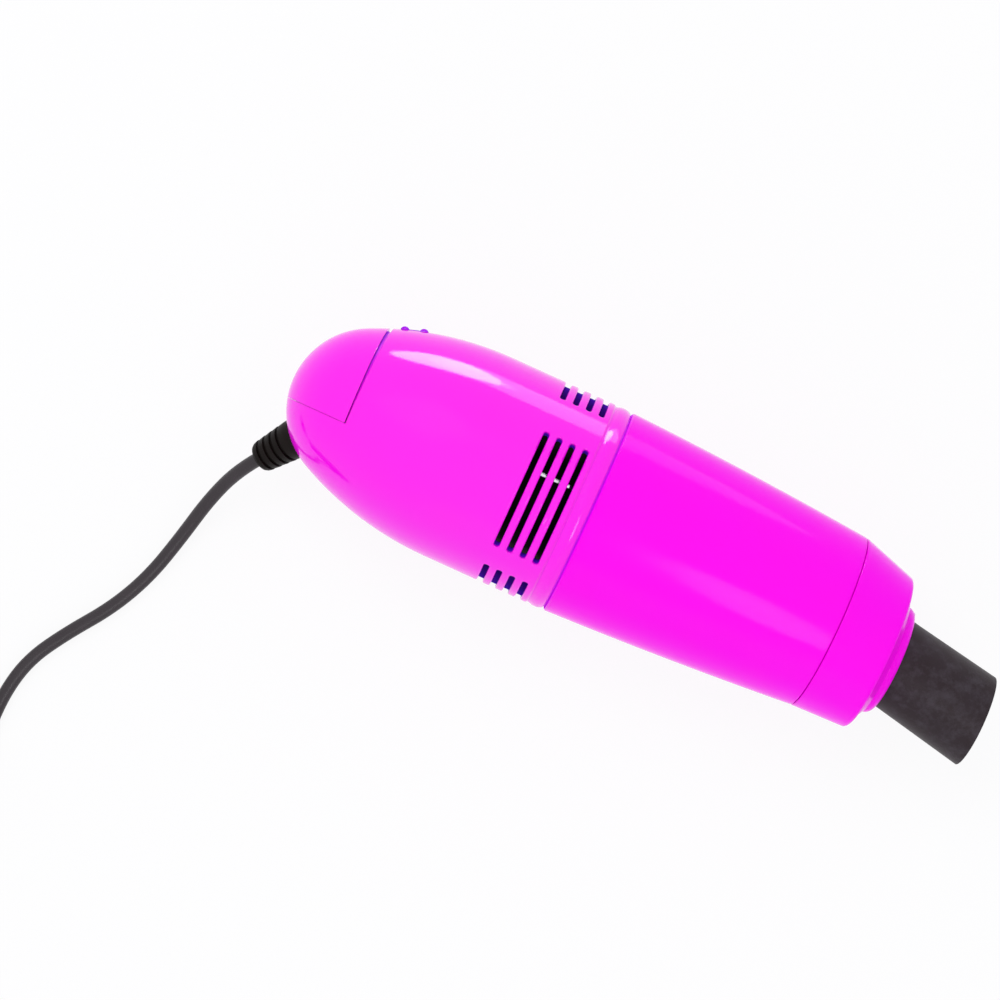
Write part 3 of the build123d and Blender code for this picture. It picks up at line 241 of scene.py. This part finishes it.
def finishMaterial(name, look):
    # a solid finish: cloudy colour, uneven gloss, fine grain and softened edges, with painted violet shade on
    # the walls of listed slots and seams
    material, tree = newTree(name)
    place = addNode(tree, "ShaderNodeTexCoord")
    spot = place.outputs["Object"]
    clouds = addNode(
        tree,
        "ShaderNodeTexNoise",
        {"Scale": perMetre(look["cloud"]), "Detail": 4.0, "Roughness": 0.6},
        {"Vector": spot},
    )
    colour = addNode(
        tree,
        "ShaderNodeMix",
        {"data_type": "RGBA", 6: linear(look["colour"]), 7: linear(look["shade"])},
        {0: clouds.outputs["Fac"]},
    )
    if "bloom" in look:
        bloom = look["bloom"]
        patches = addNode(
            tree,
            "ShaderNodeTexNoise",
            {"Scale": perMetre(bloom["size"]), "Detail": 8.0, "Roughness": 0.7},
            {"Vector": spot},
        )
        cover = addNode(
            tree,
            "ShaderNodeMapRange",
            {"From Min": bloom["from"], "From Max": bloom["to"], "To Max": bloom["most"]},
            {"Value": patches.outputs["Fac"]},
        )
        colour = addNode(
            tree,
            "ShaderNodeMix",
            {"data_type": "RGBA", 7: linear(bloom["colour"])},
            {0: cover.outputs["Result"], 6: colour.outputs[2]},
        )
    smudge = addNode(
        tree,
        "ShaderNodeTexNoise",
        {"Scale": perMetre(look["smudge"]), "Detail": 5.0},
        {"Vector": spot},
    )
    gloss = addNode(
        tree,
        "ShaderNodeMapRange",
        {"To Min": look["smooth"], "To Max": look["rough"]},
        {"Value": smudge.outputs["Fac"]},
    )
    roughness = gloss.outputs["Result"]
    # painted shade: a darker violet is mixed in on walls deep in slots and seams, where shade falls, and the
    # gloss is dulled there
    for band in look.get("paintedShadeBands", []):
        share = paintedShadeShare(tree, spot, band)
        colour = addNode(
            tree,
            "ShaderNodeMix",
            {"data_type": "RGBA", 7: linear(band["colour"])},
            {0: share, 6: colour.outputs[2]},
        )
        dull = addNode(tree, "ShaderNodeMath", {"operation": "MULTIPLY", 1: band["rough"]}, {0: share})
        dulled = addNode(tree, "ShaderNodeMath", {"operation": "MAXIMUM"}, {0: roughness, 1: dull.outputs[0]})
        roughness = dulled.outputs[0]
    grain = addNode(
        tree,
        "ShaderNodeTexNoise",
        {"Scale": perMetre(look["grain"]), "Detail": 3.0},
        {"Vector": spot},
    )
    edge = addNode(tree, "ShaderNodeBevel", {"samples": 4, "Radius": look["edge"] * mm})
    bump = addNode(
        tree,
        "ShaderNodeBump",
        {"Strength": 1.0, "Distance": look["depth"] * mm},
        {"Height": grain.outputs["Fac"], "Normal": edge.outputs["Normal"]},
    )
    shader = addNode(
        tree,
        "ShaderNodeBsdfPrincipled",
        look.get("sockets", {}),
        {
            "Base Color": colour.outputs[2],
            "Roughness": roughness,
            "Normal": bump.outputs["Normal"],
        },
    )
    addNode(tree, "ShaderNodeOutputMaterial", {}, {"Surface": shader.outputs["BSDF"]})
    return material


# cloud, smudge and grain are the sizes of the pigment clouds, finger smears and mould grain.
# A grain under about 0.5 is drawn coarser than it is, so that it shows.
finishes = {
    # injection-moulded ABS, pigmented rose: high gloss with a faint orange peel, with violet painted shade
    # deep in its slots and seams
    "housingAbs": {
        "colour": "#FF08E6",
        "shade": "#FA04EC",
        "cloud": 30,
        "smudge": 9,
        "smooth": 0.06,
        "rough": 0.13,
        "grain": 1.8,
        "depth": 0.006,
        "edge": 0.25,
        "paintedShadeBands": [
            # slots: painted dark violet shade
            {"from": -28.5, "to": -15.6, "outside": 22.25, "fade": 0.6, "colour": "#6400D6", "rough": 0.7},
            # joint with the cup: painted violet shade
            {"from": -12.5, "to": -12.1, "outside": 21.95, "fade": 0.1, "colour": "#EA00FF", "rough": 0.7},
            # tail cover's seam: painted violet shade
            {"from": -65.3, "to": -64.2, "outside": 17.05, "fade": 0.3, "colour": "#B420FF", "rough": 0.7},
        ],
        "sockets": {"IOR": 1.5, "Specular IOR Level": 0.38},
    },
    # the dust cup's ABS, from a slightly more violet batch
    "cupAbs": {
        "colour": "#FF0AE8",
        "shade": "#FA06F0",
        "cloud": 26,
        "smudge": 9,
        "smooth": 0.1,
        "rough": 0.18,
        "grain": 1.8,
        "depth": 0.006,
        "edge": 0.25,
        "paintedShadeBands": [
            # joint with the housing: painted violet shade
            {"from": -12.3, "to": -11.7, "outside": 22.35, "fade": 0.3, "colour": "#EA00FF", "rough": 0.7},
        ],
        "sockets": {"IOR": 1.46, "Specular IOR Level": 0.08},
    },
    # the slide button's ABS: the rose moulding in a darker violet colour, which is painted shade
    "knobPaintedShadeAbs": {
        "colour": "#C01CF4",
        "shade": "#B012F2",
        "cloud": 6,
        "smudge": 3,
        "smooth": 0.2,
        "rough": 0.32,
        "grain": 0.9,
        "depth": 0.008,
        "edge": 0.3,
        "sockets": {"IOR": 1.5, "Specular IOR Level": 0.15},
    },
    # black ABS of the motor mount: a dull moulding that swallows the light behind the slots
    "mountAbs": {
        "colour": "#020203",
        "shade": "#050608",
        "cloud": 3,
        "smudge": 2,
        "smooth": 0.45,
        "rough": 0.6,
        "grain": 0.8,
        "depth": 0.02,
        "edge": 0.2,
        "sockets": {"IOR": 1.52, "Specular IOR Level": 0.05},
    },
    # glass-filled nylon: matt black with a dry grain
    "fanNylon": {
        "colour": "#161619",
        "shade": "#1E1E21",
        "cloud": 8,
        "smudge": 4,
        "smooth": 0.42,
        "rough": 0.6,
        "grain": 0.5,
        "depth": 0.02,
        "edge": 0.12,
        "sockets": {"IOR": 1.53},
    },
    # plain white nylon, slightly translucent to the eye
    "naturalNylon": {
        "colour": "#EDEBE2",
        "shade": "#E2DFD3",
        "cloud": 7,
        "smudge": 4,
        "smooth": 0.35,
        "rough": 0.5,
        "grain": 0.7,
        "depth": 0.01,
        "edge": 0.15,
        "sockets": {"IOR": 1.53, "Subsurface Weight": 0.1, "Subsurface Scale": 0.001},
    },
    # extruded polyolefin tube: satin black with pale dusty bloom
    "hoseTube": {
        "colour": "#281E20",
        "shade": "#322A30",
        "cloud": 5,
        "smudge": 3,
        "smooth": 0.36,
        "rough": 0.58,
        "grain": 0.6,
        "depth": 0.03,
        "edge": 0.2,
        "bloom": {"colour": "#6E6A74", "size": 3.0, "from": 0.45, "to": 0.85, "most": 0.3},
        "sockets": {"IOR": 1.49, "Specular IOR Level": 0.15},
    },
    # extruded soft PVC: satin black jacket with a faint pull along it
    "cordPvc": {
        "colour": "#2A2428",
        "shade": "#342E32",
        "cloud": 4,
        "smudge": 2,
        "smooth": 0.3,
        "rough": 0.46,
        "grain": 0.5,
        "depth": 0.012,
        "edge": 0.1,
        "sockets": {"IOR": 1.53, "Specular IOR Level": 0.35},
    },
    # moulded soft PVC of the strain relief and the plug: warm black, matt
    "reliefPvc": {
        "colour": "#0A0504",
        "shade": "#140C09",
        "cloud": 3,
        "smudge": 2,
        "smooth": 0.38,
        "rough": 0.55,
        "grain": 0.4,
        "depth": 0.02,
        "edge": 0.2,
        "sockets": {"IOR": 1.53, "Specular IOR Level": 0.12},
    },
    # deep-drawn zinc-plated steel: cool grey with soft drawn streaks
    "drawnSteel": {
        "colour": "#B9BABD",
        "shade": "#A3A5A9",
        "cloud": 5,
        "smudge": 1.5,
        "smooth": 0.22,
        "rough": 0.38,
        "grain": 0.5,
        "depth": 0.004,
        "edge": 0.15,
        "sockets": {"Metallic": 1.0},
    },
    # tinned steel wire of the clip: near-white, so it sparkles in the slots
    "tinnedWire": {
        "colour": "#FAFAFC",
        "shade": "#ECECF2",
        "cloud": 1,
        "smudge": 0.6,
        "smooth": 0.08,
        "rough": 0.16,
        "grain": 0.3,
        "depth": 0.002,
        "edge": 0.05,
        "sockets": {"Metallic": 1.0},
    },
    # bright zinc screws: harder shine
    "zincScrew": {
        "colour": "#C9CACC",
        "shade": "#B4B5B8",
        "cloud": 1.5,
        "smudge": 0.8,
        "smooth": 0.16,
        "rough": 0.3,
        "grain": 0.25,
        "depth": 0.004,
        "edge": 0.1,
        "sockets": {"Metallic": 1.0},
    },
    # sintered bronze bush: brown metal with open pores
    "sinteredBronze": {
        "colour": "#B08552",
        "shade": "#8E6A3F",
        "cloud": 0.8,
        "smudge": 0.6,
        "smooth": 0.36,
        "rough": 0.55,
        "grain": 0.2,
        "depth": 0.02,
        "edge": 0.08,
        "sockets": {"Metallic": 1.0},
    },
    # gold-flashed brass contacts: warm and bright
    "goldFlash": {
        "colour": "#E0BD6B",
        "shade": "#D3AC58",
        "cloud": 2,
        "smudge": 1,
        "smooth": 0.14,
        "rough": 0.28,
        "grain": 0.3,
        "depth": 0.003,
        "edge": 0.05,
        "sockets": {"Metallic": 1.0},
    },
    # bare copper of the commutator and the brush arms
    "turnedCopper": {
        "colour": "#C9805A",
        "shade": "#A9613F",
        "cloud": 1.2,
        "smudge": 0.8,
        "smooth": 0.25,
        "rough": 0.42,
        "grain": 0.2,
        "depth": 0.006,
        "edge": 0.06,
        "sockets": {"Metallic": 1.0},
    },
    # pressed ferrite: charcoal, stone-like
    "ferrite": {
        "colour": "#2F3032",
        "shade": "#3B3C3F",
        "cloud": 2,
        "smudge": 1,
        "smooth": 0.5,
        "rough": 0.68,
        "grain": 0.3,
        "depth": 0.02,
        "edge": 0.1,
        "sockets": {"IOR": 1.9},
    },
    # nitrile seal: dead black, slightly tacky
    "nitrile": {
        "colour": "#141414",
        "shade": "#1C1B1B",
        "cloud": 2,
        "smudge": 1,
        "smooth": 0.5,
        "rough": 0.66,
        "grain": 0.4,
        "depth": 0.01,
        "edge": 0.1,
        "sockets": {"IOR": 1.52},
    },
    # extruded PVC insulation of the live lead: clear red, slightly waxy
    "redPvc": {
        "colour": "#C3201A",
        "shade": "#A91914",
        "cloud": 3,
        "smudge": 1.5,
        "smooth": 0.3,
        "rough": 0.45,
        "grain": 0.4,
        "depth": 0.008,
        "edge": 0.05,
        "sockets": {"IOR": 1.53},
    },
    # the link lead's insulation: the same extrusion in yellow
    "yellowPvc": {
        "colour": "#E3B21C",
        "shade": "#CF9E12",
        "cloud": 3,
        "smudge": 1.5,
        "smooth": 0.3,
        "rough": 0.45,
        "grain": 0.4,
        "depth": 0.008,
        "edge": 0.05,
        "sockets": {"IOR": 1.53},
    },
    # ceramic disc dipped in resin: ochre, with a dimpled skin
    "dippedCeramic": {
        "colour": "#C77B33",
        "shade": "#B56A26",
        "cloud": 1.5,
        "smudge": 1,
        "smooth": 0.25,
        "rough": 0.4,
        "grain": 0.5,
        "depth": 0.02,
        "edge": 0.15,
        "sockets": {"IOR": 1.55},
    },
}
materials = {name: finishMaterial(name, look) for name, look in finishes.items()}
print("materials made:", len(materials))

nodeFinishes = {
    "housingAbs": ["motor_housing", "tail_cover"],
    "knobPaintedShadeAbs": ["switch_knob"],
    "tinnedWire": ["mount_clip"],
    "cupAbs": ["dust_cup", "nose_cap"],
    "mountAbs": ["motor_mount"],
    "fanNylon": ["motor_end_bell", "impeller", "fan_shroud", "switch_base"],
    "naturalNylon": ["filter_frame", "switch_slider", "strain_tie", "plug_tongue"],
    "hoseTube": ["suction_hose"],
    "cordPvc": ["inner_cord", "lead_black", "cord", "cord_coil", "cord_tail"],
    "reliefPvc": ["cable_boot", "plug_body", "coil_tie"],
    "drawnSteel": ["motor_can", "rotor_shaft", "switch_frame", "plug_shell", "armature_core"],
    "zincScrew": ["tail_cover_screw", "mount_screws", "motor_screws", "switch_screws"],
    "sinteredBronze": ["front_bearing", "rear_bearing"],
    "goldFlash": ["motor_terminals", "switch_pins", "plug_contacts"],
    "turnedCopper": ["motor_brushes", "commutator", "armature_windings"],
    "ferrite": ["motor_magnets"],
    "nitrile": ["seal_ring"],
    "redPvc": ["lead_red"],
    "yellowPvc": ["lead_link"],
    "dippedCeramic": ["noise_capacitor"],
}
for finish, names in nodeFinishes.items():
    for name in names:
        nodes[name].data.materials.clear()
        nodes[name].data.materials.append(materials[finish])

addCord(cordSetup, materials["cordPvc"])
print("cord laid")


# Filter: a disc of non-woven cloth gathered over a dome, its edge caught under the frame's ring

filterSetup = {
    "apex": 24.4,  # stations from the seam, along the body
    "domeBase": 11.15,
    "hem": 8.85,
    "radius": 15.9,
    "pleats": 30,
    "rings": 46,
    "stepsPerPleat": 10,
    "thickness": 0.35,
    "crumple": 0.16,
    "curvedShare": 0.85,  # of the rings, on the dome
    "foldHeight": 2.1,  # makes the pleats' wave take up the spare cloth
    "cupGap": 0.175,  # from the seam to the cup's rear edge
    "seed": 5,
}


def filterProfile(setup):
    # (station, radius, distance along the cloth) from the apex to the hem
    depth = setup["apex"] - setup["domeBase"]
    band = setup["domeBase"] - setup["hem"]
    points = [(setup["apex"], 0.0, 0.0)]
    curved = round(setup["rings"] * setup["curvedShare"])
    for step in range(1, curved + 1):
        turn = math.radians(90 * step / curved)
        station = setup["domeBase"] + depth * math.cos(turn)
        radius = setup["radius"] * math.sin(turn)
        run = math.dist((station, radius), points[-1][:2])
        points.append((station, radius, points[-1][2] + run))
    straight = setup["rings"] - curved
    for step in range(1, straight + 1):
        station = setup["domeBase"] - band * step / straight
        points.append((station, setup["radius"], points[-1][2] + band / straight))
    return points


def addFilterCloth(setup, material, seamX, axisHeight):
    dice = random.Random(setup["seed"])
    pleats = setup["pleats"]
    shift = [dice.uniform(-0.5, 0.5) for _ in range(pleats)]
    reach = [dice.uniform(0.8, 1.15) for _ in range(pleats)]
    wave = [dice.uniform(0, 2 * math.pi) for _ in range(6)]
    around = pleats * setup["stepsPerPleat"]
    profile = filterProfile(setup)
    verts = [((seamX + profile[0][0]) * mm, 0, axisHeight * mm)]
    for station, radius, along in profile[1:]:
        gather = max(0.0, (along / radius) ** 2 - 1)
        swing = radius * math.sqrt(setup["foldHeight"] * gather) / pleats
        for step in range(around):
            turn = 2 * math.pi * step / around
            place = step / setup["stepsPerPleat"]
            near = int(place) % pleats
            share = place - int(place)
            nearShift = shift[near] * (1 - share) + shift[(near + 1) % pleats] * share
            nearReach = reach[near] * (1 - share) + reach[(near + 1) % pleats] * share
            fold = swing * nearReach * math.cos(2 * math.pi * place + nearShift)
            crease = sum(math.sin((n + 2) * turn + wave[n] + (0.35 + 0.2 * n) * along) for n in range(6))
            out = radius + fold + setup["crumple"] * crease / 3 * min(1.0, along / 6)
            free = min(1.0, (station - setup["hem"]) / 3)
            lift = setup["crumple"] * math.sin(3 * turn + wave[0] + 0.9 * along) * free
            spot = (seamX + station + lift, out * math.sin(turn), axisHeight + out * math.cos(turn))
            verts.append(tuple(c * mm for c in spot))
    faces = [(0, 1 + step, 1 + (step + 1) % around) for step in range(around)]
    for ring in range(len(profile) - 2):
        low = 1 + ring * around
        for step in range(around):
            beside = (step + 1) % around
            faces.append((low + step, low + around + step, low + around + beside, low + beside))
    mesh = bpy.data.meshes.new("filterCloth")
    mesh.from_pydata(verts, [], faces)
    mesh.update()
    for face in mesh.polygons:
        face.use_smooth = True
    cloth = addPiece("filterCloth", mesh, material, "filter")
    thick = cloth.modifiers.new("thickness", "SOLIDIFY")
    thick.thickness = setup["thickness"] * mm
    thick.offset = 0
    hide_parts("filter_bag")
    across = 2 * profile[-1][2] * mm
    return across


def clothMaterial(name, look):
    # bonded fibres with a grid of pressed dots
    material, tree = newTree(name)
    place = addNode(tree, "ShaderNodeTexCoord")
    spot = place.outputs["Object"]
    fibres = addNode(
        tree,
        "ShaderNodeTexNoise",
        {"Scale": perMetre(look["fibre"]), "Detail": 6.0, "Roughness": 0.75, "Distortion": 1.5},
        {"Vector": spot},
    )
    dots = addNode(
        tree,
        "ShaderNodeTexVoronoi",
        {"Scale": perMetre(look["dotPitch"]), "Randomness": 0.25},
        {"Vector": spot},
    )
    press = addNode(
        tree,
        "ShaderNodeMapRange",
        {"From Min": look["dotCore"], "From Max": look["dotEdge"]},
        {"Value": dots.outputs["Distance"]},
    )
    dust = addNode(
        tree,
        "ShaderNodeTexNoise",
        {"Scale": perMetre(look["dust"]), "Detail": 4.0},
        {"Vector": spot},
    )
    cover = addNode(
        tree,
        "ShaderNodeMapRange",
        {"From Min": 0.5, "From Max": 0.75, "To Max": look["dustMost"]},
        {"Value": dust.outputs["Fac"]},
    )
    clean = addNode(
        tree,
        "ShaderNodeMix",
        {"data_type": "RGBA", 6: linear(look["shade"]), 7: linear(look["colour"])},
        {0: fibres.outputs["Fac"]},
    )
    dusty = addNode(
        tree,
        "ShaderNodeMix",
        {"data_type": "RGBA", 7: linear(look["dustColour"])},
        {0: cover.outputs["Result"], 6: clean.outputs[2]},
    )
    relief = addNode(
        tree,
        "ShaderNodeMath",
        {"operation": "MULTIPLY_ADD", 1: 0.35},
        {0: fibres.outputs["Fac"], 2: press.outputs["Result"]},
    )
    bump = addNode(
        tree,
        "ShaderNodeBump",
        {"Distance": look["depth"] * mm},
        {"Height": relief.outputs[0]},
    )
    shader = addNode(
        tree,
        "ShaderNodeBsdfPrincipled",
        {"Roughness": 0.85, "Specular IOR Level": 0.3, "Sheen Weight": 0.2, "Sheen Roughness": 0.5},
        {"Base Color": dusty.outputs[2], "Normal": bump.outputs["Normal"]},
    )
    addNode(tree, "ShaderNodeOutputMaterial", {}, {"Surface": shader.outputs["BSDF"]})
    return material


# spunbond polypropylene: white, matt, with pressed dots that read as a fine grid
spunbond = clothMaterial(
    "spunbondCloth",
    {
        "colour": "#F2F1EC",
        "shade": "#DAD8D0",
        "fibre": 0.5,  # a real fibre is 0.02 across: drawn coarser, so that it shows
        "dotPitch": 1.1,
        "dotCore": 0.12,  # shares of the pitch
        "dotEdge": 0.3,
        "depth": 0.08,
        "dust": 9,
        "dustColour": "#C9C3B6",
        "dustMost": 0.6,
    },
)
nodes["filter_bag"].data.materials.clear()
nodes["filter_bag"].data.materials.append(spunbond)
mountLow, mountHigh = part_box("motor_mount")
axisHeight = (mountLow[2] + mountHigh[2]) / 2 / mm
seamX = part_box("dust_cup")[0][0] / mm - filterSetup["cupGap"]
clothFlat = addFilterCloth(filterSetup, spunbond, seamX, axisHeight)
print("filter cloth gathered, cut", round(clothFlat / mm, 1), "mm across")


# Floor, backdrop and light

stageSetup = {
    "floorSize": 6.0,
    "floorColour": "#F0F0F4",
    "whiteShare": 0.9,  # how much of the floor's own white the camera sees over its shadow
    "zenith": "#E6E6E6",
    "horizon": "#E8E6F2",
    "lampAim": (-0.01, 0, 0.02),
    "lamps": {
        "keySoftbox": {
            "at": (-0.35, 0.30, 0.80), "size": (0.5, 0.5), "power": 2.2,
            "tint": "#FFFFFF", "shape": "RECTANGLE", "lights": "matt",
        },
        "lowSoftbox": {
            "at": (0.10, -0.60, 0.25), "size": (0.5, 0.3), "power": 0.55,
            "tint": "#FFFFFF", "shape": "RECTANGLE", "lights": "matt",
        },
        "sideLeaf": {
            "at": (-0.0885, 0.165, 0.028), "size": (0.104, 0.056), "power": 0.15,
            "tint": "#FFFFFF", "shape": "ELLIPSE", "lights": "gloss",
        },
        "sideGlow": {
            "at": (-0.02, 0.165, 0.028), "size": (0.17, 0.06), "power": 0.065,
            "tint": "#FFFFFF", "shape": "ELLIPSE", "lights": "gloss",
        },
        "cupStrip": {
            "at": (0.18, -0.24, 0.60), "size": (0.32, 0.12), "power": 0.5,
            "tint": "#FFFFFF", "shape": "ELLIPSE", "lights": "gloss",
            "along": (0.073, -0.267, 0),  # its long side
        },
    },
}


def seenRay(tree):
    # 1 for camera, glossy and transmission rays
    rays = addNode(tree, "ShaderNodeLightPath")
    glossy = addNode(
        tree,
        "ShaderNodeMath",
        {"operation": "MAXIMUM"},
        {0: rays.outputs["Is Camera Ray"], 1: rays.outputs["Is Glossy Ray"]},
    )
    seen = addNode(
        tree,
        "ShaderNodeMath",
        {"operation": "MAXIMUM"},
        {0: glossy.outputs[0], 1: rays.outputs["Is Transmission Ray"]},
    )
    return seen.outputs[0]


def addFloor(setup):
    mesh = bpy.data.meshes.new("floor")
    half = setup["floorSize"] / 2
    corners = [(-half, -half, 0), (half, -half, 0), (half, half, 0), (-half, half, 0)]
    mesh.from_pydata(corners, [], [(0, 1, 2, 3)])
    material, tree = newTree("floorWhite")
    matt = addNode(tree, "ShaderNodeBsdfDiffuse", {"Color": linear(setup["floorColour"])})
    white = addNode(tree, "ShaderNodeEmission", {"Strength": 1.0})
    share = addNode(
        tree,
        "ShaderNodeMath",
        {"operation": "MULTIPLY", 1: setup["whiteShare"]},
        {0: seenRay(tree)},
    )
    mix = addNode(
        tree,
        "ShaderNodeMixShader",
        {},
        {0: share.outputs[0], 1: matt.outputs[0], 2: white.outputs[0]},
    )
    addNode(tree, "ShaderNodeOutputMaterial", {}, {"Surface": mix.outputs[0]})
    mesh.materials.append(material)
    floor = bpy.data.objects.new("floor", mesh)
    scene.collection.objects.link(floor)


def addLamps(setup):
    aim = Vector(setup["lampAim"])
    for name, lamp in setup["lamps"].items():
        light = bpy.data.lights.new(name, "AREA")
        light.shape = lamp["shape"]
        light.size, light.size_y = lamp["size"]
        light.energy = lamp["power"]
        light.color = linear(lamp["tint"])[:3]
        holder = bpy.data.objects.new(name, light)
        holder.location = lamp["at"]
        holder.rotation_mode = "QUATERNION"
        facing = (holder.location - aim).normalized()
        if "along" in lamp:
            along = Vector(lamp["along"])
            along = (along - along.dot(facing) * facing).normalized()
            axes = Matrix((along, facing.cross(along), facing)).transposed()
            holder.rotation_quaternion = axes.to_quaternion()
        else:
            holder.rotation_quaternion = facing.to_track_quat("Z", "Y")
        holder.visible_camera = False
        holder.visible_glossy = lamp["lights"] != "matt"
        holder.visible_diffuse = lamp["lights"] != "gloss"
        scene.collection.objects.link(holder)


def addWorld(setup):
    world = bpy.data.worlds.new("studio")
    scene.world = world
    world.use_nodes = True
    tree = world.node_tree
    tree.nodes.clear()
    place = addNode(tree, "ShaderNodeTexCoord")
    axes = addNode(tree, "ShaderNodeSeparateXYZ", {}, {0: place.outputs["Generated"]})
    dusk = addNode(
        tree,
        "ShaderNodeMix",
        {"data_type": "RGBA", 6: linear(setup["horizon"]), 7: linear(setup["zenith"])},
        {0: axes.outputs["Z"]},
    )
    shown = addNode(
        tree,
        "ShaderNodeMix",
        {"data_type": "RGBA", 7: (1, 1, 1, 1)},
        {0: seenRay(tree), 6: dusk.outputs[2]},
    )
    sky = addNode(tree, "ShaderNodeBackground", {"Strength": 1.0}, {"Color": shown.outputs[2]})
    addNode(tree, "ShaderNodeOutputWorld", {}, {"Surface": sky.outputs[0]})


addFloor(stageSetup)
addLamps(stageSetup)
addWorld(stageSetup)
print("stage lit")
